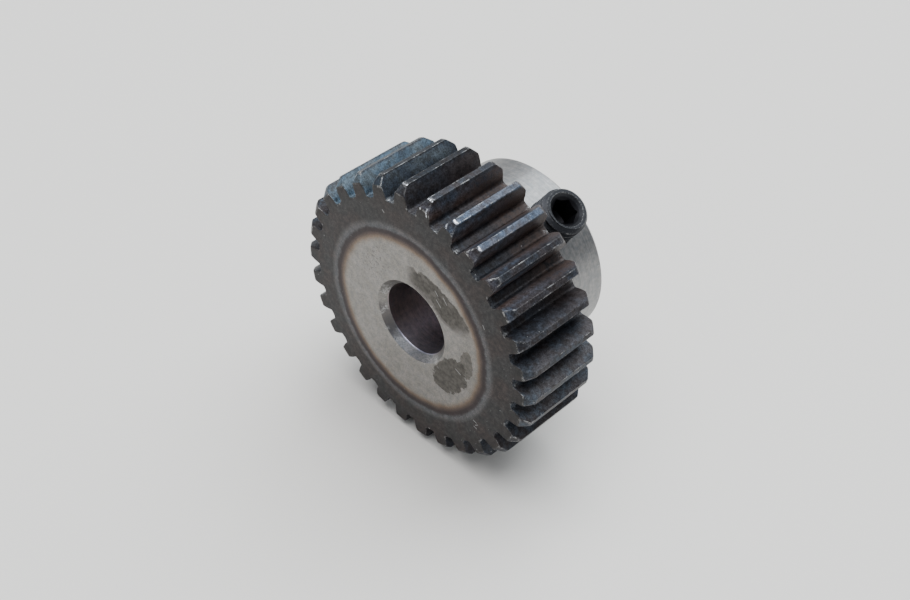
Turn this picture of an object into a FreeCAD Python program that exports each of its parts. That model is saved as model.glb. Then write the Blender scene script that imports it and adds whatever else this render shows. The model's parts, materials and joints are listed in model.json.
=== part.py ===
"""A module 1, 30-tooth spur gear with a round hub on one side, and the set screw in its hub.

Millimetres. The gear's axis is Y and its teeth run from the front face, at -Y, to the hub side, at +Y.
The origin is on the axis, midway along the teeth. +Z is up: the gear stands on the two teeth
either side of the tooth space at the bottom.
"""
import FreeCAD, Part
import math
import os

from FreeCAD import Placement, Rotation, Vector

# teeth
MODULE = 1.0
TOOTH_COUNT = 30
PRESSURE_ANGLE = 20.0
ADDENDUM = 1.0 * MODULE
DEDENDUM = 1.25 * MODULE
TOOTH_THINNING = 0.10
FACE_WIDTH = 10.0
FRONT_TOOTH_CHAMFER = 0.8
BACK_TOOTH_CHAMFER = 0.8

# hub and bore
HUB_DIAMETER = 20.0
HUB_LENGTH = 8.0
HUB_CHAMFER = 0.5
BORE_DIAMETER = 8.0
BORE_CHAMFER = 0.75

# M5 set screw with a hexagon socket and a cup point, and its hole through one wall of the hub
SCREW_ANGLE = 34.0
SCREW_LENGTH = 6.0
SCREW_STANDS_PROUD = 3.0
SCREW_END_CHAMFER = 0.32
THREAD_MAJOR_DIAMETER = 4.96
THREAD_PITCH = 0.8
THREAD_ANGLE = 60.0
THREAD_START_ANGLE = 118.0
SCREW_RUNNING_FIT = 0.05
SOCKET_WIDTH = 2.5
SOCKET_DEPTH = 3.0
SOCKET_MOUTH_RADIUS = 1.85
SOCKET_DRILL_POINT_ANGLE = 120.0
CUP_DIAMETER = 2.5
CUP_ANGLE = 118.0

# worked out from the sizes above
PITCH_RADIUS = MODULE * TOOTH_COUNT / 2
TIP_RADIUS = PITCH_RADIUS + ADDENDUM
ROOT_RADIUS = PITCH_RADIUS - DEDENDUM
BASE_RADIUS = PITCH_RADIUS * math.cos(math.radians(PRESSURE_ANGLE))
TOOTH_PITCH_ANGLE = 360.0 / TOOTH_COUNT
FRONT_Y = -FACE_WIDTH / 2
RIM_BACK_Y = FACE_WIDTH / 2
HUB_END_Y = RIM_BACK_Y + HUB_LENGTH
HUB_RADIUS = HUB_DIAMETER / 2
BORE_RADIUS = BORE_DIAMETER / 2
SCREW_Y = RIM_BACK_Y + HUB_LENGTH / 2
SCREW_OUTER_END = HUB_RADIUS + SCREW_STANDS_PROUD
THREAD_MAJOR_RADIUS = THREAD_MAJOR_DIAMETER / 2
THREAD_GROOVE_DEPTH = 0.6134 * THREAD_PITCH
THREAD_MINOR_RADIUS = THREAD_MAJOR_RADIUS - THREAD_GROOVE_DEPTH
SCREW_HOLE_RADIUS = THREAD_MAJOR_RADIUS + SCREW_RUNNING_FIT

AXIS = Vector(0, 1, 0)
OVERSHOOT = 0.5
FLANK_POINTS = 9


def on_circle(radius, angle, y=0.0):
    """A point at an angle in radians from +Z, turning toward +X, about the gear's axis."""
    return Vector(radius * math.sin(angle), y, radius * math.cos(angle))


def arc(radius, start, end, y):
    """An arc about the gear's axis, between two angles."""
    middle = (start + end) / 2
    return Part.Arc(on_circle(radius, start, y), on_circle(radius, middle, y), on_circle(radius, end, y)).toShape()


def revolved(outline):
    """The solid of revolution about the gear's axis of a closed outline of (radius, y) points."""
    points = [Vector(0, y, radius) for radius, y in outline]
    face = Part.Face(Part.makePolygon(points + points[:1]))
    return face.revolve(Vector(0, 0, 0), AXIS, 360)


def blank():
    """The turned gear before its teeth are cut: the rim, the hub and the chamfered bore."""
    return revolved([
        (BORE_RADIUS, FRONT_Y + BORE_CHAMFER),
        (BORE_RADIUS + BORE_CHAMFER, FRONT_Y),
        (TIP_RADIUS - FRONT_TOOTH_CHAMFER, FRONT_Y),
        (TIP_RADIUS, FRONT_Y + FRONT_TOOTH_CHAMFER),
        (TIP_RADIUS, RIM_BACK_Y - BACK_TOOTH_CHAMFER),
        (TIP_RADIUS - BACK_TOOTH_CHAMFER, RIM_BACK_Y),
        (HUB_RADIUS, RIM_BACK_Y),
        (HUB_RADIUS, HUB_END_Y - HUB_CHAMFER),
        (HUB_RADIUS - HUB_CHAMFER, HUB_END_Y),
        (BORE_RADIUS + BORE_CHAMFER, HUB_END_Y),
        (BORE_RADIUS, HUB_END_Y - BORE_CHAMFER),
    ])


def involute(radius):
    """The involute function of the pressure angle that the flank has at a radius."""
    angle = math.acos(min(1.0, BASE_RADIUS / radius))
    return math.tan(angle) - angle


def half_space_angle(radius):
    """Half the angle that a tooth space spans at a radius, between its two involute flanks."""
    at_pitch = math.radians(TOOTH_PITCH_ANGLE) / 4 + TOOTH_THINNING / 2 / PITCH_RADIUS
    return at_pitch + involute(radius) - involute(PITCH_RADIUS)


def tooth_space():
    """One tooth space at the top, as a bar a little longer and taller than the rim."""
    y = FRONT_Y - OVERSHOOT
    outer = TIP_RADIUS + OVERSHOOT
    # the fillet that touches the root circle and meets the involute at the base circle
    fillet = (BASE_RADIUS ** 2 - ROOT_RADIUS ** 2) / (2 * ROOT_RADIUS)
    fillet_centre = ROOT_RADIUS + fillet
    at_base = half_space_angle(BASE_RADIUS)
    at_root = at_base - math.asin(fillet / fillet_centre)
    step = (outer - BASE_RADIUS) / (FLANK_POINTS - 1)
    radii = [BASE_RADIUS + step * i for i in range(FLANK_POINTS)]
    edges = [arc(ROOT_RADIUS, -at_root, at_root, y), arc(outer, -half_space_angle(outer), half_space_angle(outer), y)]
    for side in (-1, 1):
        flank = Part.BSplineCurve()
        flank.interpolate([on_circle(r, side * half_space_angle(r), y) for r in radii])
        centre = on_circle(fillet_centre, side * at_root, y)
        ends = [on_circle(ROOT_RADIUS, side * at_root, y), on_circle(BASE_RADIUS, side * at_base, y)]
        toward_middle = (ends[0] + ends[1]) / 2 - centre
        middle = centre + toward_middle.normalize() * fillet
        edges += [flank.toShape(), Part.Arc(ends[0], middle, ends[1]).toShape()]
    outline = Part.Wire(Part.__sortEdges__(edges))
    return Part.Face(outline).extrude(AXIS * (FACE_WIDTH + 2 * OVERSHOOT))


def turned(shape, degrees):
    """A copy turned about the gear's axis, from +Z toward +X."""
    copy = shape.copy()
    copy.rotate(Vector(0, 0, 0), AXIS, degrees)
    return copy


def in_screw_place(shape):
    """Moves a shape built about Z at the origin to the set screw's axis, with its +Z end outward."""
    copy = shape.copy()
    copy.Placement = Placement(Vector(0, SCREW_Y, 0), Rotation(AXIS, SCREW_ANGLE)).multiply(copy.Placement)
    return copy


def screw_hole():
    """The plain hole for the set screw, from inside the bore out through the hub's wall."""
    return in_screw_place(Part.makeCylinder(SCREW_HOLE_RADIUS, HUB_RADIUS + OVERSHOOT))


def gear():
    """The toothed wheel and its hub, in one piece."""
    space = tooth_space()
    spaces = [turned(space, i * TOOTH_PITCH_ANGLE) for i in range(TOOTH_COUNT)]
    return blank().cut(Part.makeCompound(spaces)).cut(screw_hole())


def lathe_z(outline):
    """The solid of revolution about Z of a closed outline of (radius, z) points."""
    points = [Vector(radius, 0, z) for radius, z in outline]
    face = Part.Face(Part.makePolygon(points + points[:1]))
    return face.revolve(Vector(0, 0, 0), Vector(0, 0, 1), 360)


def thread_groove():
    """The thread's groove, running out past both ends, as a list of single turns of its helix."""
    run_out = 1.5 * THREAD_PITCH
    root_half_width = THREAD_PITCH / 12
    outside = THREAD_MAJOR_RADIUS + 0.06 * THREAD_PITCH
    slope = math.tan(math.radians(THREAD_ANGLE / 2))
    outside_half_width = root_half_width + (outside - THREAD_MINOR_RADIUS) * slope
    corners = [
        Vector(THREAD_MINOR_RADIUS, 0, -root_half_width),
        Vector(outside, 0, -outside_half_width),
        Vector(outside, 0, outside_half_width),
        Vector(THREAD_MINOR_RADIUS, 0, root_half_width),
    ]
    helix = Part.makeHelix(THREAD_PITCH, THREAD_PITCH, THREAD_MINOR_RADIUS)
    # a fixed binormal along the screw keeps the groove's section upright
    sweep = Part.BRepOffsetAPI.MakePipeShell(Part.Wire(helix.Edges))
    sweep.setBiNormalMode(Vector(0, 0, 1))
    sweep.add(Part.makePolygon(corners + corners[:1]))
    sweep.build()
    sweep.makeSolid()
    turn = sweep.shape()
    turn.rotate(Vector(0, 0, 0), Vector(0, 0, 1), THREAD_START_ANGLE)
    turns = []
    for i in range(math.ceil((SCREW_LENGTH + 2 * run_out) / THREAD_PITCH)):
        copy = turn.copy()
        copy.translate(Vector(0, 0, -SCREW_LENGTH - run_out + i * THREAD_PITCH))
        turns.append(copy)
    return turns


def socket():
    """The hexagon socket with its countersunk mouth and drilled bottom; its mouth is at z = 0."""
    corner_radius = SOCKET_WIDTH / 2 / math.cos(math.radians(30))
    corners = [
        Vector(corner_radius * math.cos(math.radians(60 * i)), corner_radius * math.sin(math.radians(60 * i)), 0)
        for i in range(6)
    ]
    hexagon = Part.Face(Part.makePolygon(corners + corners[:1])).extrude(Vector(0, 0, -SOCKET_DEPTH))
    mouth_depth = SOCKET_MOUTH_RADIUS - SOCKET_WIDTH / 2
    mouth = lathe_z([(0, -SOCKET_MOUTH_RADIUS), (SOCKET_MOUTH_RADIUS + OVERSHOOT, OVERSHOOT), (0, OVERSHOOT)])
    drill_radius = SOCKET_WIDTH / 2
    drill_depth = drill_radius / math.tan(math.radians(SOCKET_DRILL_POINT_ANGLE / 2))
    drill_point = lathe_z([
        (0, -SOCKET_DEPTH - drill_depth),
        (drill_radius, -SOCKET_DEPTH),
        (drill_radius, -SOCKET_DEPTH + mouth_depth),
        (0, -SOCKET_DEPTH + mouth_depth),
    ])
    return hexagon.fuse([mouth, drill_point])


def set_screw():
    """The set screw: its threaded body with both ends chamfered, the socket and the cup point."""
    cup_radius = CUP_DIAMETER / 2
    cup_depth = cup_radius / math.tan(math.radians(CUP_ANGLE / 2))
    body = lathe_z([
        (0, -SCREW_LENGTH + cup_depth),
        (cup_radius, -SCREW_LENGTH),
        (THREAD_MAJOR_RADIUS, -SCREW_LENGTH + THREAD_MAJOR_RADIUS - cup_radius),
        (THREAD_MAJOR_RADIUS, -SCREW_END_CHAMFER),
        (THREAD_MAJOR_RADIUS - SCREW_END_CHAMFER, 0),
        (0, 0),
    ])
    screw = body.cut(thread_groove()).cut(socket())
    screw.translate(Vector(0, 0, SCREW_OUTER_END))
    return in_screw_place(screw)


os.makedirs("parts", exist_ok=True)
for name, shape in (("gear", gear()), ("set_screw", set_screw())):
    solid = shape.removeSplitter()
    solid.exportStep(f"parts/{name}.step")
    print(name, "valid", solid.isValid(), "solids", len(solid.Solids), "volume", round(solid.Volume, 2))
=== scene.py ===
"""The looks of a module 1 spur gear and its set screw: final meshes, materials, floor, light and camera.

Meshes are built in millimetres, in the row frame or along the screw's own axis, and scaled to metres.
The gear's axis is Y: its front face is at -Y and its hub is at +Y. +Z is up.
"""
import functools
import json
import math

import bmesh
import bpy
from mathutils import Matrix, Vector


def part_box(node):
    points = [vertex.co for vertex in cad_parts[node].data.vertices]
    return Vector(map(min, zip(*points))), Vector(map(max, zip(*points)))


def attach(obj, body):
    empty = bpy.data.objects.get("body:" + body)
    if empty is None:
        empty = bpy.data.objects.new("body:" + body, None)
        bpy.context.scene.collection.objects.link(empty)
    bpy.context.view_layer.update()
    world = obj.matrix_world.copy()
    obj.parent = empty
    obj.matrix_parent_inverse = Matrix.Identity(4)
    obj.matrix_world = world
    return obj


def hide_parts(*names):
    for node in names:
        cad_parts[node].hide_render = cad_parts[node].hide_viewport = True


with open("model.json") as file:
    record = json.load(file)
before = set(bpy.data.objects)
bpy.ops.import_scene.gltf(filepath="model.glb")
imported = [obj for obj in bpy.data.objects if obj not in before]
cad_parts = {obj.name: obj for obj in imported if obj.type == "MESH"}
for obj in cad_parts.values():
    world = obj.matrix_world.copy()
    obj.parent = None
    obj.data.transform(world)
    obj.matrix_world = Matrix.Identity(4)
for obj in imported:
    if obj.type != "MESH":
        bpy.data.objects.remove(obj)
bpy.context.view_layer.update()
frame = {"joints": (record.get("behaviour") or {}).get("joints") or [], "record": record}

MM = 0.001
MOUNTS = {mount["name"]: mount for mount in frame["record"]["mounts"]}

# ------------------------------------------------------------------ sizes, in millimetres
gear_low, gear_high = (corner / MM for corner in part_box("gear"))
screw_low, screw_high = (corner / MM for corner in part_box("set_screw"))
rim = MOUNTS["tooth_rim"]["dims"]

TOOTH_COUNT = rim["count"]
PITCH_RADIUS = rim["r_mm"]
PRESSURE_ANGLE = math.radians(20.0)
MODULE = 2 * PITCH_RADIUS / TOOTH_COUNT
TIP_RADIUS = PITCH_RADIUS + MODULE
ROOT_RADIUS = PITCH_RADIUS - 1.25 * MODULE
BASE_RADIUS = PITCH_RADIUS * math.cos(PRESSURE_ANGLE)
TOOTH_THINNING = 0.10
TOOTH_PITCH = math.tau / TOOTH_COUNT
FRONT_TOOTH_CHAMFER = 0.8
BACK_TOOTH_CHAMFER = 0.8
FRONT_Y = gear_low.y
RIM_BACK_Y = FRONT_Y + rim["length_mm"]
HUB_END_Y = gear_high.y
HUB_RADIUS = 10.0
HUB_CHAMFER = 0.5
BORE_RADIUS = MOUNTS["shaft_bore"]["dims"]["r_mm"]
BORE_CHAMFER = (HUB_END_Y - FRONT_Y - MOUNTS["shaft_bore"]["dims"]["length_mm"]) / 2
BORE_MOUTH_RADIUS = BORE_RADIUS + BORE_CHAMFER
EDGE_ROUNDING = 0.08
FRONT_EDGE_ROUNDING = 0.24
BACK_EDGE_ROUNDING = 0.28

SCREW_OUTWARD = -Vector(frame["joints"][0]["axis"]).normalized()
SCREW_Y = (screw_low.y + screw_high.y) / 2
SCREW_STANDS_PROUD = 3.0
SCREW_OUTER_END = HUB_RADIUS + SCREW_STANDS_PROUD
SCREW_END_CHAMFER = 0.32
SCREW_LENGTH = 6.0
THREAD_RADIUS = 2.48
THREAD_PITCH = 0.8
THREAD_DEPTH = 0.6134 * THREAD_PITCH
THREAD_CREST = 1 / 8
THREAD_ROOT = 1 / 6
THREAD_EASING = 0.03
THREAD_START = math.radians(118.0)
SOCKET_WIDTH = 2.5
SOCKET_DEPTH = 3.0
SOCKET_MOUTH_RADIUS = 1.85
SOCKET_BOTTOM_SLOPE = math.radians(30.0)
CUP_RADIUS = 1.25
CUP_SLOPE = math.radians(31.0)
SCREW_HOLE_RADIUS = 2.53

# the meshes: radii of the rings of points across the flat faces, counts, and angles in degrees
RIM_RINGS = (13.3, 11.8)
DISC_RINGS = (10.3, 8.6, 6.6)
BACK_INNER_RING = 10.4
TOOTH_END_MARGIN = 1.4
EDGE_STRIP_WIDTH = 0.20
CREST_TURN = 12
ROUNDED_ANGLE = 28
GEAR_CRISP_ANGLE = 40
SCREW_CRISP_ANGLE = 32
HOLE_SIDES = 96
SCREW_SIDES = 120
THREAD_STEPS = 20


# ------------------------------------------------------------------ mesh helpers
def around(radius, angle, y):
    """A point at an angle from +Z, turning toward +X, about the gear's axis."""
    return (radius * math.sin(angle), y, radius * math.cos(angle))


def spread(start, end, count):
    """Evenly spaced values from start to end."""
    return [start + (end - start) * i / (count - 1) for i in range(count)]


class Shell:
    """A closed mesh gathered from grids of points whose shared borders are merged."""

    def __init__(self):
        self.bm = bmesh.new()

    def grid(self, rows):
        """Faces between neighbouring rows of points, all of the same length."""
        made = [[self.bm.verts.new(point) for point in row] for row in rows]
        for upper, lower in zip(made, made[1:]):
            for i in range(len(upper) - 1):
                self.bm.faces.new((upper[i], upper[i + 1], lower[i + 1], lower[i]))

    def finish(self, name):
        """Merges the borders, drops what has no area, and returns the mesh object, not yet scaled."""
        bmesh.ops.remove_doubles(self.bm, verts=self.bm.verts, dist=1e-4)
        bmesh.ops.dissolve_degenerate(self.bm, edges=self.bm.edges, dist=1e-5)
        bmesh.ops.recalc_face_normals(self.bm, faces=self.bm.faces)
        mesh = bpy.data.meshes.new(name)
        self.bm.to_mesh(mesh)
        self.bm.free()
        piece = bpy.data.objects.new(name, mesh)
        bpy.context.scene.collection.objects.link(piece)
        return piece


def bake_modifiers(piece):
    """Replaces a piece's mesh by the one its modifiers make."""
    graph = bpy.context.evaluated_depsgraph_get()
    made = bpy.data.meshes.new_from_object(piece.evaluated_get(graph))
    piece.modifiers.clear()
    piece.data = made


def round_edges(piece, rounding_at, widest, angle):
    """Rounds the edges sharper than an angle in degrees, each as wide as rounding_at says for its middle."""
    bm = bmesh.new()
    bm.from_mesh(piece.data)
    weight = bm.edges.layers.float.new("bevel_weight_edge")
    for edge in bm.edges:
        if edge.calc_face_angle(0.0) > math.radians(angle):
            edge[weight] = rounding_at((edge.verts[0].co + edge.verts[1].co) / 2) / widest
    bm.to_mesh(piece.data)
    bm.free()
    bevel = piece.modifiers.new("rounding", "BEVEL")
    bevel.width = widest
    bevel.segments = 2
    bevel.limit_method = "WEIGHT"
    bake_modifiers(piece)


def mark_edges(mesh):
    """Stores 1 along the crests of rounded edges and 0 elsewhere. A rounding is made of narrow strips."""
    bm = bmesh.new()
    bm.from_mesh(mesh)
    values = []
    for vertex in bm.verts:
        widths = [min(edge.calc_length() for edge in face.edges) for face in vertex.link_faces]
        turned = [edge.calc_face_angle_signed(0.0) for edge in vertex.link_edges if len(edge.link_faces) == 2]
        narrow = all(width < EDGE_STRIP_WIDTH for width in widths)
        crest = max([0.0] + turned) > math.radians(CREST_TURN)
        values.append(1.0 if narrow and crest else 0.0)
    bm.free()
    mesh.attributes.new("edge_wear", "FLOAT", "POINT").data.foreach_set("value", values)


def shade(piece, angle):
    """Smooth shading that keeps flat faces flat and edges sharper than an angle in degrees crisp."""
    piece.data.shade_smooth()
    piece.data.set_sharp_from_angle(angle=math.radians(angle))
    normals = piece.modifiers.new("face weighted", "WEIGHTED_NORMAL")
    normals.keep_sharp = True
    normals.weight = 80
    bake_modifiers(piece)


# ------------------------------------------------------------------ the gear
def involute(radius):
    """The involute function at a radius of the flank."""
    angle = math.acos(min(1.0, BASE_RADIUS / radius))
    return math.tan(angle) - angle


def half_space(radius):
    """Half the angle of a tooth space at a radius on its involute flanks."""
    at_pitch = TOOTH_PITCH / 4 + TOOTH_THINNING / 2 / PITCH_RADIUS
    return at_pitch + involute(radius) - involute(PITCH_RADIUS)


def flank_levels():
    """(radius, half the tooth's angle) up a flank, from the root circle round its fillet to the tip."""
    fillet = (BASE_RADIUS ** 2 - ROOT_RADIUS ** 2) / (2 * ROOT_RADIUS)
    centre_radius = ROOT_RADIUS + fillet
    at_base = half_space(BASE_RADIUS)
    at_root = at_base - math.asin(fillet / centre_radius)
    centre = Vector((math.sin(at_root), math.cos(at_root))) * centre_radius
    first = Vector((math.sin(at_root), math.cos(at_root))) * ROOT_RADIUS - centre
    last = Vector((math.sin(at_base), math.cos(at_base))) * BASE_RADIUS - centre
    turn = first.angle_signed(last)
    levels = []
    for share in spread(0.0, 1.0, 5):
        point = centre + Matrix.Rotation(-turn * share, 2) @ first
        levels.append((point.length, TOOTH_PITCH / 2 - math.atan2(point.x, point.y)))
    front_bend, back_bend = TIP_RADIUS - FRONT_TOOTH_CHAMFER, TIP_RADIUS - BACK_TOOTH_CHAMFER
    above = spread(BASE_RADIUS, front_bend, 5)[1:] + [back_bend, (back_bend + TIP_RADIUS) / 2, TIP_RADIUS]
    return levels + [(radius, TOOTH_PITCH / 2 - half_space(radius)) for radius in above]


def front_at(radius):
    """Where the teeth's front ends lie, at a radius: on the front face, or on its chamfer."""
    return FRONT_Y + max(0.0, radius - TIP_RADIUS + FRONT_TOOTH_CHAMFER)


def back_at(radius):
    """Where the teeth's back ends lie, at a radius: on the rim's back, or on its chamfer."""
    return RIM_BACK_Y - max(0.0, radius - TIP_RADIUS + BACK_TOOTH_CHAMFER)


def edge_rounding(place):
    """How much an edge of the gear is rounded. The ends of the teeth are rounded most."""
    above_fillets = ROOT_RADIUS + 0.4
    beyond_chamfer = 0.1
    if math.hypot(place.x, place.z) > above_fillets:
        if place.y > RIM_BACK_Y - BACK_TOOTH_CHAMFER - beyond_chamfer:
            return BACK_EDGE_ROUNDING
        if place.y < FRONT_Y + FRONT_TOOTH_CHAMFER + beyond_chamfer:
            return FRONT_EDGE_ROUNDING
    return EDGE_ROUNDING


def turned_outline():
    """(radius, y) down the front face, through the bore, and back over the hub to the rim's back."""
    front = [(radius, FRONT_Y) for radius in (ROOT_RADIUS, *RIM_RINGS, *DISC_RINGS, BORE_MOUTH_RADIUS)]
    bore = [(BORE_RADIUS, y) for y in spread(FRONT_Y + BORE_CHAMFER, HUB_END_Y - BORE_CHAMFER, 9)]
    hub_rings = (BORE_MOUTH_RADIUS, DISC_RINGS[-1], HUB_RADIUS - HUB_CHAMFER)
    hub_end = [(radius, HUB_END_Y) for radius in hub_rings]
    hub = [(HUB_RADIUS, y) for y in spread(HUB_END_Y - HUB_CHAMFER, RIM_BACK_Y, 7)]
    back = [(radius, RIM_BACK_Y) for radius in (BACK_INNER_RING, *RIM_RINGS[::-1], ROOT_RADIUS)]
    return front + bore + hub_end + hub + back


def add_tooth(shell, middle, levels):
    """A tooth's two ends, its land and its two flanks, about the angle of its middle."""
    across = spread(-1.0, 1.0, 5)
    lengthwise = spread(FRONT_Y + TOOTH_END_MARGIN, RIM_BACK_Y - TOOTH_END_MARGIN, 5)
    for end_at in (front_at, back_at):
        shell.grid([[around(r, middle + half * share, end_at(r)) for share in across] for r, half in levels])
    tip, tip_half = levels[-1]
    ends = [front_at(tip)] + lengthwise + [back_at(tip)]
    shell.grid([[around(tip, middle + tip_half * share, y) for share in across] for y in ends])
    for side in (-1, 1):
        shell.grid([
            [around(r, middle + side * half, y) for y in [front_at(r)] + lengthwise + [back_at(r)]]
            for r, half in levels
        ])


def add_floor_of_space(shell, middle, half):
    """The floor of a tooth space, about the angle of its middle."""
    lengthwise = spread(FRONT_Y + TOOTH_END_MARGIN, RIM_BACK_Y - TOOTH_END_MARGIN, 5)
    shell.grid([
        [around(ROOT_RADIUS, middle + angle, y) for angle in spread(-half, half, 4)]
        for y in [FRONT_Y] + lengthwise + [RIM_BACK_Y]
    ])


def gear_shell():
    """The toothed rim, hub and bore, before its edges are rounded and the screw's hole is cut."""
    shell = Shell()
    levels = flank_levels()
    tooth_half = levels[0][1]
    space_half = TOOTH_PITCH / 2 - tooth_half
    ring_angles = []
    for tooth in range(TOOTH_COUNT):
        middle = (tooth + 0.5) * TOOTH_PITCH
        space = middle + TOOTH_PITCH / 2
        ring_angles += [middle + tooth_half * share for share in spread(-1.0, 1.0, 5)]
        ring_angles += [space + angle for angle in spread(-space_half, space_half, 4)[1:-1]]
        add_tooth(shell, middle, levels)
        add_floor_of_space(shell, space, space_half)
    ring_angles.append(ring_angles[0] + math.tau)
    shell.grid([[around(radius, angle, y) for angle in ring_angles] for radius, y in turned_outline()])
    return shell.finish("gear_wheel")


def along_screw(shape):
    """Turns and moves a shape built about Z at the origin onto the set screw's axis, in the row frame."""
    turn = Vector((0, 0, 1)).rotation_difference(SCREW_OUTWARD).to_matrix().to_4x4()
    shape.data.transform(Matrix.Translation((0, SCREW_Y, 0)) @ turn)


def hole_cutter():
    """A cylinder about Z, from the origin to beyond the hub, as wide as the set screw's hole."""
    top = HUB_RADIUS + 1.0
    outline = [(0.0, 0.0), (SCREW_HOLE_RADIUS, 0.0), (SCREW_HOLE_RADIUS, top), (0.0, top)]
    angles = spread(0.0, math.tau, HOLE_SIDES + 1)
    shell = Shell()
    shell.grid([[(radius * math.cos(a), radius * math.sin(a), z) for a in angles] for radius, z in outline])
    return shell.finish("hole_cutter")


def cut_screw_hole(piece):
    """Cuts the set screw's hole through the hub's wall on one side."""
    cutter = hole_cutter()
    along_screw(cutter)
    boolean = piece.modifiers.new("screw hole", "BOOLEAN")
    boolean.object = cutter
    boolean.solver = "EXACT"
    bake_modifiers(piece)
    bpy.data.objects.remove(cutter)


def make_gear():
    """The gear wheel and its hub, as one piece that stands for the CAD gear."""
    piece = gear_shell()
    round_edges(piece, edge_rounding, BACK_EDGE_ROUNDING, ROUNDED_ANGLE)
    mark_edges(piece.data)
    cut_screw_hole(piece)
    shade(piece, GEAR_CRISP_ANGLE)
    piece.data.transform(Matrix.Scale(MM, 4))
    return piece


# ------------------------------------------------------------------ the set screw
def thread_radius(phase):
    """The thread's radius at a phase of its pitch, from 0 to 1: crest, flank, root, flank."""
    distance = abs((phase % 1.0) - 0.5)
    slope_start, slope_end = THREAD_ROOT / 2, 0.5 - THREAD_CREST / 2
    share = (distance - slope_start) / (slope_end - slope_start)
    share = min(1.0, max(0.0, share))
    eased = share + THREAD_EASING * math.sin(math.tau * share)
    return THREAD_RADIUS - THREAD_DEPTH * (1.0 - eased)


def screw_radius(angle, z):
    """The screw's radius at an angle and a height, within its chamfered ends; 0 is the socket end."""
    socket_end = THREAD_RADIUS - SCREW_END_CHAMFER - z
    point_end = CUP_RADIUS + z + SCREW_LENGTH
    phase = z / THREAD_PITCH - (angle - THREAD_START) / math.tau
    return min(thread_radius(phase), socket_end, point_end)


def hexagon_radius(angle):
    """The socket's radius at an angle."""
    from_flat = angle % math.radians(60) - math.radians(30)
    return SOCKET_WIDTH / 2 / math.cos(from_flat)


def screw_ring(radius_at, z_at):
    """A closed row of points about Z, its radius and height given at each angle."""
    return [
        (radius_at(angle) * math.cos(angle), radius_at(angle) * math.sin(angle), z_at(angle))
        for angle in spread(0.0, math.tau, SCREW_SIDES + 1)
    ]


def thread_row(step):
    """One row of points along the right-hand thread, which runs out on both of the screw's ends."""
    def height(angle):
        z = THREAD_PITCH * (step / THREAD_STEPS + (angle - THREAD_START) / math.tau)
        return min(0.0, max(-SCREW_LENGTH, z))

    return screw_ring(lambda angle: screw_radius(angle, height(angle)), height)


def socket_rows():
    """Rows of points across the screw's end, over the countersunk mouth and down the hexagon socket."""
    flat = SOCKET_WIDTH / 2
    mouth = SOCKET_MOUTH_RADIUS
    return [
        screw_ring(lambda a: screw_radius(a, 0.0), lambda a: 0.0),
        screw_ring(lambda a: (screw_radius(a, 0.0) + mouth) / 2, lambda a: 0.0),
        screw_ring(lambda a: mouth, lambda a: 0.0),
        screw_ring(lambda a: (mouth + hexagon_radius(a)) / 2, lambda a: (hexagon_radius(a) - mouth) / 2),
        screw_ring(hexagon_radius, lambda a: hexagon_radius(a) - mouth),
        screw_ring(hexagon_radius, lambda a: -SOCKET_DEPTH * 0.5),
        screw_ring(hexagon_radius, lambda a: -SOCKET_DEPTH),
        screw_ring(lambda a: flat * 0.999, lambda a: -SOCKET_DEPTH),
        screw_ring(lambda a: 0.0, lambda a: -SOCKET_DEPTH - flat * math.tan(SOCKET_BOTTOM_SLOPE)),
    ]


def cup_rows():
    """Rows of points from the rim of the cup point in to its middle."""
    return [
        screw_ring(lambda a: CUP_RADIUS, lambda a: -SCREW_LENGTH),
        screw_ring(lambda a: 0.0, lambda a: -SCREW_LENGTH + CUP_RADIUS * math.tan(CUP_SLOPE)),
    ]


def make_set_screw():
    """The set screw: a right-hand thread that runs out at both ends, a hexagon socket and a cup point."""
    shell = Shell()
    turns = math.ceil(SCREW_LENGTH / THREAD_PITCH) + 1
    shell.grid([thread_row(step) for step in range(-turns * THREAD_STEPS, THREAD_STEPS + 1)])
    shell.grid(socket_rows())
    shell.grid(cup_rows())
    piece = shell.finish("hex_set_screw")
    piece.data.transform(Matrix.Translation((0, 0, SCREW_OUTER_END)))
    along_screw(piece)
    mark_edges(piece.data)
    shade(piece, SCREW_CRISP_ANGLE)
    piece.data.transform(Matrix.Scale(MM, 4))
    return piece


# ------------------------------------------------------------------ material helpers
def rgb(red, green, blue):
    """A colour that hides what is behind it."""
    return (red, green, blue, 1.0)


def grey(value, warmth=0.0):
    """A grey with a little warmth (or, below zero, blueness)."""
    return rgb(value * (1 + warmth), value, value * (1 - warmth))


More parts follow.
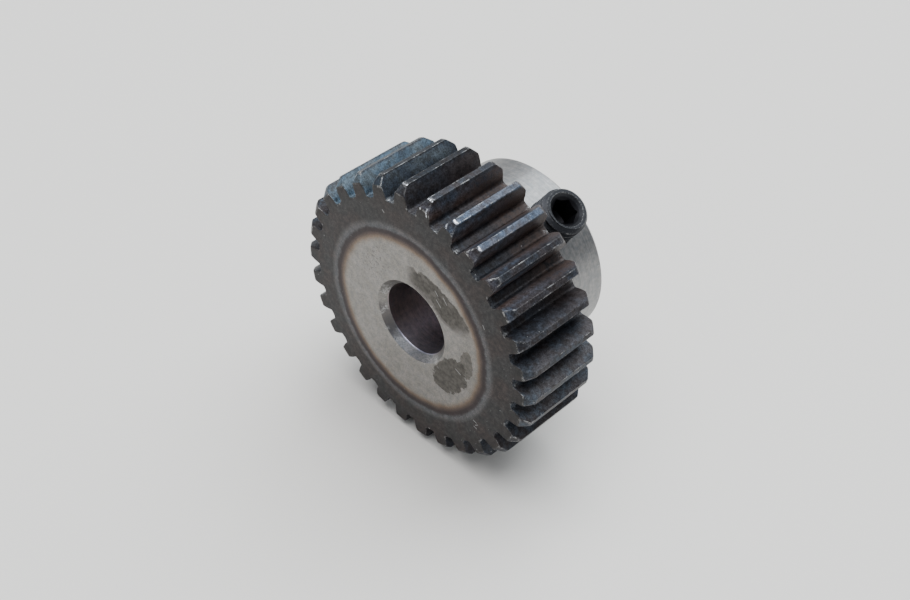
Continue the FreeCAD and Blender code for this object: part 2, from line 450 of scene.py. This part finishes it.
class Graph:
    """A material's nodes. Sockets and plain values can both be passed as inputs."""

    def __init__(self, name):
        self.material = bpy.data.materials.new(name)
        self.material.use_nodes = True
        self.tree = self.material.node_tree
        self.tree.nodes.clear()

    @functools.cached_property
    def position(self):
        """Where a point is in the row frame, in millimetres."""
        place = self.node("ShaderNodeTexCoord").outputs["Object"]
        return self.vector("SCALE", {0: place, "Scale": 1 / MM})

    def node(self, kind, inputs=None, **settings):
        """A node with its settings and inputs filled in."""
        made = self.tree.nodes.new(kind)
        for key, value in settings.items():
            setattr(made, key, value)
        for key, value in (inputs or {}).items():
            if isinstance(value, bpy.types.NodeSocket):
                self.tree.links.new(value, made.inputs[key])
            else:
                made.inputs[key].default_value = value
        return made

    def math(self, operation, *values, clamp=False):
        """A sum on numbers."""
        made = self.node("ShaderNodeMath", dict(enumerate(values)), operation=operation, use_clamp=clamp)
        return made.outputs[0]

    def add(self, a, b):
        return self.math("ADD", a, b)

    def minus(self, a, b):
        return self.math("SUBTRACT", a, b)

    def times(self, a, b):
        return self.math("MULTIPLY", a, b)

    def over(self, a, b):
        return self.math("DIVIDE", a, b)

    def most(self, a, b):
        return self.math("MAXIMUM", a, b)

    def flipped(self, value):
        return self.minus(1.0, value)

    def vector(self, operation, inputs, output=0):
        """A sum on vectors. Some give a number, at the output called Value."""
        return self.node("ShaderNodeVectorMath", inputs, operation=operation).outputs[output]

    def combine(self, x, y, z):
        return self.node("ShaderNodeCombineXYZ", {"X": x, "Y": y, "Z": z}).outputs[0]

    def step(self, value, low, high):
        """0 below low and 1 above high, with a smooth step between; low may be the larger."""
        made = self.node("ShaderNodeMapRange", {
            "Value": value, "From Min": low, "From Max": high, "To Min": 0.0, "To Max": 1.0,
        }, interpolation_type="SMOOTHSTEP")
        return made.outputs[0]

    def between(self, value, low, high, softness):
        """1 between low and high, falling to 0 over a width just inside them."""
        return self.times(self.step(value, low, low + softness), self.step(value, high, high - softness))

    def noise(self, scale, detail, roughness, vector=None):
        """Noise from 0 to 1, mostly near a half, over the piece's own millimetres."""
        made = self.node("ShaderNodeTexNoise", {
            "Vector": vector or self.position,
            "Scale": scale,
            "Detail": detail,
            "Roughness": roughness,
            "Distortion": 0.0,
        })
        return made.outputs["Fac"]

    def attribute(self, name):
        return self.node("ShaderNodeAttribute", attribute_name=name).outputs["Fac"]

    def blend(self, factor, first, second):
        """A number between two numbers."""
        return self.node("ShaderNodeMix", {0: factor, 2: first, 3: second}, data_type="FLOAT").outputs[0]

    def mix(self, factor, first, second):
        """A colour between two colours."""
        return self.node("ShaderNodeMix", {0: factor, 6: first, 7: second}, data_type="RGBA").outputs[2]

    def product(self, first, second):
        """Two colours multiplied."""
        inputs = {0: 1.0, 6: first, 7: second}
        return self.node("ShaderNodeMix", inputs, data_type="RGBA", blend_type="MULTIPLY").outputs[2]

    def vary(self, colour, pattern, low, high):
        """A colour multiplied by one colour where a pattern is 0 and by another where it is 1."""
        return self.product(colour, self.mix(pattern, low, high))

    def ramp(self, factor, stops):
        """A colour ramp of (position, colour) stops."""
        made = self.node("ShaderNodeValToRGB", {"Fac": factor})
        elements = made.color_ramp.elements
        while len(elements) < len(stops):
            elements.new(0.5)
        for element, (position, colour) in zip(elements, stops):
            element.position = position
            element.color = colour
        return made.outputs["Color"]

    def bump(self, height, strength, distance):
        """Normals that follow a height, over a distance in millimetres."""
        inputs = {"Strength": strength, "Distance": distance * MM, "Height": height}
        return self.node("ShaderNodeBump", inputs).outputs[0]

    def finish(self, inputs):
        """The material, with one shader that has these inputs."""
        shader = self.node("ShaderNodeBsdfPrincipled", inputs)
        self.node("ShaderNodeOutputMaterial", {"Surface": shader.outputs[0]})
        return self.material


# ------------------------------------------------------------------ the gear's steel
# Sizes are in millimetres. Angles are in degrees about the axis, from +Z toward +X.
HEAT_CENTRE = (-0.20, -0.30)
HEAT_START = 9.0
HEAT_END = 12.0
# from bare steel through straw, brown and near-black to blue-grey and dark oxide, by share of the way out
HEAT_TINTS = [
    (0.00, rgb(0.238, 0.229, 0.217)),
    (0.10, rgb(0.224, 0.206, 0.186)),
    (0.20, rgb(0.178, 0.138, 0.107)),
    (0.30, rgb(0.092, 0.067, 0.056)),
    (0.40, rgb(0.032, 0.021, 0.021)),
    (0.50, rgb(0.030, 0.022, 0.023)),
    (0.60, rgb(0.086, 0.087, 0.093)),
    (0.70, rgb(0.084, 0.083, 0.085)),
    (0.86, rgb(0.034, 0.031, 0.031)),
]
HUB_STEEL = rgb(0.236, 0.238, 0.240)
BORE_STEEL = rgb(0.310, 0.262, 0.265)
# painted light on the bore's lower wall
BORE_FLOOR_LIGHT = rgb(0.450, 0.430, 0.490)
SPECK = rgb(0.085, 0.080, 0.074)
BLUE_BLACK = rgb(0.027, 0.027, 0.030)
# painted reflection of bluish light on the upper-left flanks and, weaker, on their lands
SKY_REFLECTION_BLUE = rgb(0.056, 0.080, 0.098)
# painted highlight on the lands from 6 to 40 degrees
LAND_HIGHLIGHT_BLUE = rgb(0.060, 0.072, 0.092)
# painted light on the teeth from 70 to 118 degrees, on the right
SIDE_HIGHLIGHT_BLUE = rgb(0.046, 0.049, 0.054)
# painted fill light on the shaded flanks from -4 to 64 degrees, brown toward the root and navy toward the tip
FLANK_FILL_BROWN = rgb(0.064, 0.052, 0.049)
FLANK_FILL_NAVY = rgb(0.044, 0.048, 0.058)
# painted shade on the floors of the tooth spaces from 4 to 60 degrees
SPACE_FLOOR_SHADE = rgb(0.012, 0.011, 0.011)
# painted shade on the lands from -25 to 1 degrees
LAND_SHADE = rgb(0.010, 0.012, 0.014)
RUST = rgb(0.048, 0.032, 0.026)
STAIN_DARK = rgb(0.026, 0.022, 0.017)
STAIN_LIGHT = rgb(0.072, 0.064, 0.054)
STAIN_FILM = rgb(0.084, 0.073, 0.066)
SMEAR = rgb(0.072, 0.066, 0.068)
WORN_STEEL = grey(0.46)
# a bluish-white painted highlight for the glints
PAINTED_GLINT = rgb(0.62, 0.64, 0.70)

# scratches on the front face: two (x, z) ends and a width
SCRATCHES = (
    ((9.0, -7.3), (9.4, -7.42), 0.07),
    ((9.6, -7.55), (9.3, -7.8), 0.06),
    ((9.1, -8.1), (9.5, -8.2), 0.06),
    ((9.6, 6.1), (9.8, 5.7), 0.06),
    ((-3.9, 12.0), (-3.7, 11.8), 0.06),
    ((4.4, 6.1), (4.9, 5.5), 0.06),
    ((3.5, 5.3), (4.1, 4.7), 0.06),
    ((3.3, 6.3), (3.7, 5.9), 0.06),
    ((6.3, -2.0), (7.0, -2.3), 0.06),
)
# teeth whose front corner gets a painted highlight, a glint: the tooth's angle and half the glint's
GLINTING_TEETH = ((-6, 1.0), (6, 1.2), (18, 0.9), (30, 1.0))
# painted highlights, short bright spots on the ends of the topmost teeth: two (x, z) ends
GLINT_SPOTS = (
    ((1.15, 15.2), (1.2, 15.0)),
    ((1.9, 15.3), (2.05, 14.4)),
    ((4.3, 14.9), (4.45, 14.6)),
)


class Steel(Graph):
    """The gear's material, with the patterns and regions that its colours and marks are set out from."""

    def __init__(self):
        super().__init__("gear_steel")
        self.x, self.y, self.z = self.node("ShaderNodeSeparateXYZ", {0: self.position}).outputs
        self.radius = self.length(self.x, self.z)
        self.angle = self.math("ARCTAN2", self.x, self.z)
        self.make_patterns()
        self.make_regions()

    def make_patterns(self):
        """Noise at several scales, and the fine marks that turning leaves round the axis."""
        self.fine = self.noise(scale=7.0, detail=4.0, roughness=0.65)
        self.medium = self.noise(scale=2.0, detail=5.0, roughness=0.6)
        self.broad = self.noise(scale=0.5, detail=3.0, roughness=0.5)
        self.grain = self.step(self.fine, 0.28, 0.72)
        self.ragged = self.minus(self.noise(scale=0.9, detail=5.0, roughness=0.65), 0.5)
        along = self.times(self.add(self.y, self.radius), 6.0)
        round_axis = self.combine(self.times(self.angle, 1.2), along, 0.0)
        self.turning = self.noise(scale=1.0, detail=3.0, roughness=0.7, vector=round_axis)

    def make_regions(self):
        """Where the faces, hub, bore, teeth and heat oxide are, each from 0 to 1; heat is a radius."""
        normal = self.node("ShaderNodeNewGeometry").outputs["Normal"]
        normal_y = self.node("ShaderNodeSeparateXYZ", {0: normal}).outputs["Y"]
        self.front = self.step(normal_y, -0.85, -0.97)
        ends = self.most(self.front, self.step(normal_y, 0.85, 0.97))
        behind_rim = self.step(self.y, RIM_BACK_Y + 0.02, RIM_BACK_Y + 0.1)
        self.hub = self.times(behind_rim, self.step(self.radius, HUB_RADIUS + 0.3, HUB_RADIUS))
        self.inside = self.step(self.radius, BORE_RADIUS + 0.12, BORE_RADIUS + 0.02)
        self.turned = self.most(self.inside, self.hub)
        self.toothed = self.times(self.step(self.radius, ROOT_RADIUS - 0.15, ROOT_RADIUS), self.flipped(ends))
        mouth = self.step(self.radius, BORE_MOUTH_RADIUS, BORE_MOUTH_RADIUS - 0.05)
        bore_start = FRONT_Y + BORE_CHAMFER
        self.chamfer = self.times(mouth, self.step(self.y, bore_start + 0.1, bore_start))
        # how far out into the hardened rim a place is, from a slightly off-centre heat pattern
        from_centre = self.length(self.minus(self.x, HEAT_CENTRE[0]), self.minus(self.z, HEAT_CENTRE[1]))
        broad_wander = self.times(self.minus(self.broad, 0.5), 0.5)
        wander = self.add(broad_wander, self.times(self.minus(self.medium, 0.5), 0.25))
        self.heat = self.times(self.add(from_centre, wander), self.flipped(self.hub))
        self.oxide = self.step(self.heat, 9.7, 10.4)

    def length(self, a, b):
        """The length of a line that runs a one way and b square to it."""
        return self.math("SQRT", self.add(self.times(a, a), self.times(b, b)))

    def sector(self, low, high, softness, angle=None):
        """1 between two angles in degrees, falling to 0 just inside them over a softness in radians."""
        return self.between(angle or self.angle, math.radians(low), math.radians(high), softness)

    def patch(self, angles, inner, outer, ragged, softness):
        """A mark on the front face between two angles in degrees and two radii, with ragged edges."""
        warp = self.times(self.ragged, ragged)
        radius = self.add(self.radius, warp)
        ends = self.sector(*angles, softness, angle=self.add(self.angle, self.times(warp, 0.12)))
        sides = self.times(
            self.step(self.minus(radius, inner), 0.0, softness),
            self.step(self.minus(outer, radius), 0.0, softness),
        )
        return self.times(self.times(ends, sides), self.front)

    def blot(self, centre_angle, half_angle, centre_radius, half_radius, ragged):
        """A roundish mark on the front face, with ragged edges."""
        along = self.over(self.minus(self.angle, math.radians(centre_angle)), math.radians(half_angle))
        across = self.over(self.minus(self.radius, centre_radius), half_radius)
        distance = self.add(self.length(along, across), self.times(self.ragged, ragged))
        return self.times(self.step(distance, 1.0, 0.93), self.front)

    def scratch(self, start, end, width, depth=0.1):
        """A straight line near the front between two (x, z) places, no deeper than a depth."""
        run = Vector((end[0] - start[0], 0.0, end[1] - start[1]))
        flat = self.combine(self.x, 0.0, self.z)
        away = self.vector("SUBTRACT", {0: flat, 1: (start[0], 0.0, start[1])})
        share = self.vector("DOT_PRODUCT", {0: away, 1: run / run.length_squared}, "Value")
        foot = self.vector("SCALE", {0: run, "Scale": self.math("ADD", share, 0.0, clamp=True)})
        gap = self.vector("DISTANCE", {0: away, 1: foot}, "Value")
        shallow = self.step(self.y, FRONT_Y + depth, FRONT_Y + depth * 0.9)
        return self.times(self.step(gap, width, width * 0.4), shallow)

    def strongest(self, marks):
        """The strongest of some marks at each place."""
        return functools.reduce(self.most, marks)


def bare_steel(g):
    """Bare steel in the middle of the face, heat-tinted outward, and turned steel on the hub and bore, whose
    lower wall is painted lighter and bluer, painted light.
    """
    heat_share = g.over(g.minus(g.heat, HEAT_START), HEAT_END - HEAT_START)
    colour = g.mix(g.hub, g.ramp(heat_share, HEAT_TINTS), HUB_STEEL)
    # painted light: the bore's lower wall is lighter and bluer than the rest of the bore
    bore = g.mix(g.step(g.z, -1.5, -4.0), BORE_STEEL, BORE_FLOOR_LIGHT)
    bore = g.vary(bore, g.fine, grey(0.80), grey(1.20))
    colour = g.mix(g.inside, colour, bore)
    rings = g.mix(g.step(g.turning, 0.32, 0.68), grey(0.88), grey(1.12))
    grain = g.mix(g.grain, grey(0.76, 0.01), grey(1.19))
    return g.product(colour, g.mix(g.turned, grain, rings))


def add_grime(g, colour):
    """Cloudy grime on the faces, and dark specks on the bare steel, most of them upper left of the bore."""
    colour = g.vary(colour, g.step(g.medium, 0.30, 0.70), rgb(0.83, 0.85, 0.87), rgb(1.15, 1.12, 1.09))
    clouded = g.vary(colour, g.step(g.ragged, -0.14, 0.12), rgb(0.89, 0.89, 0.88), rgb(1.05, 1.05, 1.06))
    colour = g.mix(g.front, colour, clouded)
    crowded = g.patch((-78, -12), 5.6, 8.8, ragged=1.6, softness=0.5)
    spots = g.step(g.noise(scale=3.6, detail=3.0, roughness=0.6), 0.55, 0.63)
    specks = g.times(spots, g.add(g.times(crowded, 0.60), 0.16))
    return g.mix(g.times(specks, g.flipped(g.oxide)), colour, SPECK)


def add_rim_oxide(g, colour):
    """Mottles the dark oxide on the rim's faces, which darkens toward the teeth."""
    mottled = g.mix(g.step(g.medium, 0.30, 0.70), grey(0.62, -0.01), grey(1.30, 0.01))
    mottled = g.vary(mottled, g.step(g.broad, 0.38, 0.62), rgb(1.08, 0.95, 0.92), rgb(0.92, 0.98, 1.00))
    mottled = g.vary(mottled, g.grain, grey(0.86), grey(1.14))
    mottled = g.vary(mottled, g.step(g.radius, 12.8, 14.8), grey(1.0), grey(0.72))
    strength = g.times(g.oxide, g.blend(g.step(g.heat, 10.9, 11.7), 0.35, 1.0))
    return g.mix(strength, colour, g.product(colour, mottled))


def tooth_blues_and_painted_light(g):
    """The blue-black of the flanks, spaces and lands, with painted light that differs round the rim: a
    painted reflection at upper left, painted highlights on some lands and on the right, painted fill light on
    shaded flanks, and painted shade on some lands and space floors.
    """
    lands = g.step(g.radius, TIP_RADIUS - 0.2, TIP_RADIUS - 0.05)
    floors = g.step(g.radius, ROOT_RADIUS + 0.55, ROOT_RADIUS + 0.15)
    # painted reflection: the upper-left side of the rim is tinted a lighter blue, less on the lands
    upper_left = g.sector(-75, -2, 0.6, angle=g.add(g.angle, g.minus(g.broad, 0.5)))
    below_lands = g.blend(g.step(g.radius, TIP_RADIUS - 0.25, TIP_RADIUS - 0.05), 1.0, 0.35)
    colour = g.mix(g.times(upper_left, below_lands), BLUE_BLACK, SKY_REFLECTION_BLUE)
    # painted highlight: the lands from 6 to 40 degrees are lighter and bluer
    colour = g.mix(g.times(lands, g.sector(6, 40, 0.2)), colour, LAND_HIGHLIGHT_BLUE)
    # painted light: the teeth on the right, from 70 to 118 degrees, are lighter
    colour = g.mix(g.sector(70, 118, 0.25), colour, SIDE_HIGHLIGHT_BLUE)
    flanks = g.between(g.radius, ROOT_RADIUS + 0.25, TIP_RADIUS - 0.1, 0.5)
    # painted fill light: the flanks from -4 to 64 degrees, which lie in shade, are lighter than the
    # blue-black, brown toward the root and navy toward the tip
    flank = g.mix(g.step(g.radius, TIP_RADIUS - 1.5, TIP_RADIUS - 0.5), FLANK_FILL_BROWN, FLANK_FILL_NAVY)
    colour = g.mix(g.times(g.sector(-4, 64, 0.2), flanks), colour, flank)
    # painted shade: the floors of the tooth spaces from 4 to 60 degrees are darkened
    colour = g.mix(g.times(g.times(floors, g.sector(4, 60, 0.2)), 0.35), colour, SPACE_FLOOR_SHADE)
    # painted shade: the lands from -25 to 1 degrees are darkened
    return g.mix(g.times(g.times(lands, g.sector(-25, 1, 0.1)), 0.55), colour, LAND_SHADE)


def tooth_steel(g):
    """The teeth's blue-black with its painted reflections, highlights and shade, mottled and grainy, and
    rusted brown toward the back of the spaces.
    """
    colour = tooth_blues_and_painted_light(g)
    colour = g.vary(colour, g.step(g.medium, 0.34, 0.66), rgb(0.70, 0.66, 0.64), rgb(1.32, 1.35, 1.40))
    colour = g.vary(colour, g.step(g.broad, 0.36, 0.64), rgb(1.10, 0.97, 0.92), rgb(0.90, 1.00, 1.11))
    colour = g.vary(colour, g.grain, grey(0.54), grey(1.58))
    toward_back = g.step(g.add(g.y, g.times(g.broad, 6.0)), 1.5, 5.5)
    rust = g.times(toward_back, g.step(g.medium, 0.32, 0.60))
    rust = g.times(rust, g.sector(-12, 70, 0.3))
    rust = g.times(rust, g.step(g.radius, TIP_RADIUS - 0.1, TIP_RADIUS - 0.5))
    return g.mix(g.times(rust, 0.8), colour, RUST)


def add_stains(g, colour):
    """Oily stains beside the bore. Returns the colour, and how stained each place is."""
    inner_edge = g.add(g.times(g.step(g.angle, math.radians(48), math.radians(74)), 1.9), 4.85)
    outer_edge = g.add(g.times(g.angle, 1.60), 7.25)
    film = g.patch((-9, 71), inner_edge, outer_edge, ragged=1.5, softness=0.20)
    core = g.patch((-6, 70), g.add(inner_edge, 0.35), outer_edge, ragged=1.9, softness=0.25)
    islands = g.step(g.noise(scale=0.95, detail=4.0, roughness=0.6), 0.40, 0.47)
    core = g.times(core, g.add(g.times(islands, 0.40), 0.60))
    round_blot = g.blot(122, 26, 6.65, 1.85, ragged=1.1)
    pale_blot = g.blot(95, 14, 7.75, 0.85, ragged=1.2)
    stain = g.mix(g.step(g.medium, 0.30, 0.66), STAIN_DARK, STAIN_LIGHT)
    colour = g.mix(g.times(pale_blot, 0.60), colour, stain)
    colour = g.mix(g.times(film, 0.66), colour, STAIN_FILM)
    colour = g.mix(g.times(core, 0.94), colour, stain)
    colour = g.mix(g.times(round_blot, 0.92), colour, stain)
    return colour, g.most(g.most(core, g.times(film, 0.5)), round_blot)


def add_chamfer_smear_and_sky_tint(g, colour):
    """On the bore's front chamfer: a dark smear on the left, and at the bottom a bluer tone, a painted
    reflection of bluish light.
    """
    lower = g.sector(-152, -88, 0.3, angle=g.add(g.angle, g.times(g.ragged, 0.8)))
    smear = g.most(lower, g.times(g.sector(-80, -26, 0.3), 0.62))
    smear = g.times(g.times(g.chamfer, smear), g.add(g.times(g.grain, 0.35), 0.55))
    colour = g.mix(smear, colour, SMEAR)
    # painted reflection: the bottom of the chamfer is tinted bluer
    from_top = g.math("ABSOLUTE", g.angle)
    bottom = g.flipped(g.step(from_top, math.radians(150), math.radians(120)))
    return g.vary(colour, g.times(g.chamfer, bottom), grey(1.0), rgb(1.00, 1.04, 1.16))


def edge_glints(g):
    """Painted highlights: bright glints on the front corners of the topmost teeth, and short bright spots on
    their ends.
    """
    marks = []
    for tooth_angle, half_angle in GLINTING_TEETH:
        turns = [math.radians(tooth_angle + side * half_angle) for side in (-1, 1)]
        start, end = ((TIP_RADIUS * math.sin(turn), TIP_RADIUS * math.cos(turn)) for turn in turns)
        marks.append(g.scratch(start, end, 0.13, FRONT_TOOTH_CHAMFER + 0.20))
    marks += [g.scratch(start, end, 0.10, FRONT_TOOTH_CHAMFER) for start, end in GLINT_SPOTS]
    return g.times(g.strongest(marks), g.step(g.noise(scale=4.0, detail=2.0, roughness=0.6), 0.44, 0.56))


def worn_metal_and_glints(g, glints):
    """Where bright metal shows: on worn edges, in pecks and scratches, and under the glints, which also carry
    a painted highlight.
    """
    crest = g.step(g.attribute("edge_wear"), 0.5, 0.95)
    somewhere = g.step(g.noise(scale=0.8, detail=3.0, roughness=0.6), 0.50, 0.66)
    worn = g.times(g.times(crest, g.add(g.times(somewhere, 0.65), 0.06)), g.step(g.fine, 0.38, 0.60))
    pecks = g.step(g.noise(scale=3.1, detail=2.0, roughness=0.5), 0.725, 0.76)
    pecks = g.times(g.times(pecks, g.step(g.broad, 0.46, 0.60)), g.oxide)
    scratches = g.strongest([g.scratch(*scratch) for scratch in SCRATCHES])
    return g.most(worn, g.most(glints, g.times(g.most(pecks, scratches), 0.5)))


def gear_steel():
    """Bare machined steel on the hub, bore and middle of the face; heat oxide on the hardened toothed rim."""
    g = Steel()
    colour = add_grime(g, bare_steel(g))
    colour = add_rim_oxide(g, colour)
    colour = g.mix(g.toothed, colour, tooth_steel(g))
    colour, stained = add_stains(g, colour)
    colour = add_chamfer_smear_and_sky_tint(g, colour)
    glints = edge_glints(g)
    bright = worn_metal_and_glints(g, glints)
    # worn places get bright steel; the glints get a bluish-white painted highlight
    colour = g.mix(bright, colour, g.mix(glints, WORN_STEEL, PAINTED_GLINT))

    dull = g.times(g.most(g.oxide, stained), g.flipped(bright))
    rough = g.blend(g.oxide, g.add(0.36, g.times(g.fine, 0.14)), g.add(0.42, g.times(g.medium, 0.16)))
    rough = g.blend(g.toothed, rough, g.add(0.32, g.times(g.medium, 0.22)))
    rough = g.blend(g.turned, rough, g.add(0.34, g.times(g.turning, 0.10)))
    rough = g.blend(bright, rough, 0.28)

    # fine turning marks run round the hub and the bore; the rest is slightly grainy, the teeth most
    scale = g.add(g.times(g.fine, 0.6), g.times(g.medium, 0.4))
    scale = g.times(scale, g.add(1.0, g.times(g.toothed, 2.2)))
    height = g.blend(g.turned, scale, g.times(g.turning, 0.35))
    return g.finish({
        "Base Color": colour,
        "Metallic": g.blend(dull, 1.0, 0.30),
        "Roughness": rough,
        "Specular IOR Level": g.blend(dull, 0.5, g.blend(g.toothed, 0.25, 0.12)),
        "Normal": g.bump(height, strength=0.35, distance=0.03),
    })


# ------------------------------------------------------------------ the set screw's black oxide
OXIDE_DARK = rgb(0.012, 0.013, 0.016)
OXIDE_LIGHT = rgb(0.030, 0.031, 0.036)
OXIDE_FLECK = grey(0.14)
OXIDE_WORN = grey(0.30)
# painted shade inside the hexagon socket
SOCKET_SHADE = rgb(0.010, 0.010, 0.012)
SOCKET_REACH = 1.62
SOCKET_EDGE_BLUR = 0.14


def black_oxide():
    """Slightly glossy black oxide, specked with grey and worn on the thread's crests and the end's rim."""
    g = Graph("black_oxide")
    fine = g.noise(scale=8.0, detail=4.0, roughness=0.6)
    medium = g.noise(scale=2.5, detail=4.0, roughness=0.6)
    base = g.mix(medium, OXIDE_DARK, OXIDE_LIGHT)
    base = g.mix(g.times(g.step(fine, 0.58, 0.66), 0.22), base, OXIDE_FLECK)

    # the socket is painted blackest, painted shade in its recess
    from_hub = g.vector("SUBTRACT", {0: g.position, 1: (0.0, SCREW_Y, 0.0)})
    across = g.vector("CROSS_PRODUCT", {0: from_hub, 1: SCREW_OUTWARD})
    reach = g.vector("LENGTH", {0: across}, "Value")
    socket = g.step(reach, SOCKET_REACH, SOCKET_REACH - SOCKET_EDGE_BLUR)
    base = g.mix(socket, base, SOCKET_SHADE)

    worn = g.times(g.step(g.attribute("edge_wear"), 0.55, 1.0), g.step(fine, 0.42, 0.62))
    return g.finish({
        "Base Color": g.mix(g.times(worn, g.blend(socket, 0.45, 0.0)), base, OXIDE_WORN),
        "Metallic": 0.5,
        "Roughness": g.add(0.28, g.times(fine, 0.16)),
        "Specular IOR Level": g.blend(socket, 0.20, 0.08),
        "Normal": g.bump(fine, strength=0.2, distance=0.02),
    })


# ------------------------------------------------------------------ the object
gear = make_gear()
gear.data.materials.append(gear_steel())
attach(gear, "gear")
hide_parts("gear")

set_screw = make_set_screw()
set_screw.data.materials.append(black_oxide())
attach(set_screw, "set_screw")
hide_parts("set_screw")


# ------------------------------------------------------------------ the stage, in metres
FLOOR_HALF_SIZE = 1.5
FLOOR_COLOUR = rgb(0.755, 0.734, 0.702)
DAYLIGHT = (0.98, 0.99, 1.0)
CAMERA_LENS = 52.4
CAMERA_TARGET = Vector((0.69, 0.57, -0.06)) * MM
CAMERA_AZIMUTH = 43.35
CAMERA_ELEVATION = 42.2
CAMERA_DISTANCE = 0.1344
CAMERA_ROLL = 1.86


def pale_floor():
    """A plain pale matt surface."""
    return Graph("pale_floor").finish({
        "Base Color": FLOOR_COLOUR,
        "Roughness": 0.7,
        "Specular IOR Level": 0.3,
    })


def make_floor():
    """A large plain floor under the gear's lowest teeth."""
    half = FLOOR_HALF_SIZE
    corners = [(-half, -half, 0), (half, -half, 0), (half, half, 0), (-half, half, 0)]
    mesh = bpy.data.meshes.new("floor")
    mesh.from_pydata(corners, [], [(0, 1, 2, 3)])
    mesh.materials.append(pale_floor())
    floor = bpy.data.objects.new("floor", mesh)
    floor.location.z = gear_low.z * MM
    bpy.context.scene.collection.objects.link(floor)


def aim(thing, target, roll=0.0):
    """Points a light or camera at a place, then rolls it about its own view, in degrees."""
    look = (Vector(target) - thing.location).to_track_quat("-Z", "Y").to_matrix().to_4x4()
    turn = look @ Matrix.Rotation(math.radians(roll), 4, "Z")
    thing.rotation_euler = turn.to_euler()


def polar_place(azimuth, elevation, distance):
    """A place round the origin. Azimuth 0 is in front of the gear, at -Y, and 90 is at +X."""
    a, e = math.radians(azimuth), math.radians(elevation)
    return Vector((math.sin(a) * math.cos(e), -math.cos(a) * math.cos(e), math.sin(e))) * distance


def area_light(name, azimuth, elevation, distance, size, watts, colour):
    """A soft square light aimed at the gear."""
    data = bpy.data.lights.new(name, "AREA")
    data.size = size
    data.energy = watts
    data.color = colour
    light = bpy.data.objects.new(name, data)
    light.location = polar_place(azimuth, elevation, distance)
    bpy.context.scene.collection.objects.link(light)
    aim(light, (0, 0, 0))


def soft_world(strength, colour):
    """Even light from all round."""
    world = bpy.data.worlds.new("soft_world")
    world.use_nodes = True
    background = world.node_tree.nodes["Background"]
    background.inputs["Color"].default_value = colour
    background.inputs["Strength"].default_value = strength
    bpy.context.scene.world = world


def make_camera():
    """The camera, above the gear's front right."""
    data = bpy.data.cameras.new("camera")
    data.lens = CAMERA_LENS
    data.sensor_width = 36.0
    data.clip_start = 0.01
    camera = bpy.data.objects.new("camera", data)
    camera.location = CAMERA_TARGET + polar_place(CAMERA_AZIMUTH, CAMERA_ELEVATION, CAMERA_DISTANCE)
    bpy.context.scene.collection.objects.link(camera)
    aim(camera, CAMERA_TARGET, CAMERA_ROLL)
    bpy.context.scene.camera = camera


make_floor()
soft_world(strength=0.45, colour=rgb(0.93, 0.96, 1.0))
area_light("window", -178.0, 59.0, distance=0.75, size=0.75, watts=7.0, colour=(0.90, 0.96, 1.0))
area_light("ceiling", -30.0, 82.0, distance=0.8, size=0.7, watts=7.2, colour=DAYLIGHT)
area_light("side_window", -128.0, 22.0, distance=0.9, size=0.7, watts=0.9, colour=DAYLIGHT)
area_light("far_window", -5.0, 35.0, distance=0.9, size=0.45, watts=0.5, colour=(0.82, 0.91, 1.0))
make_camera()
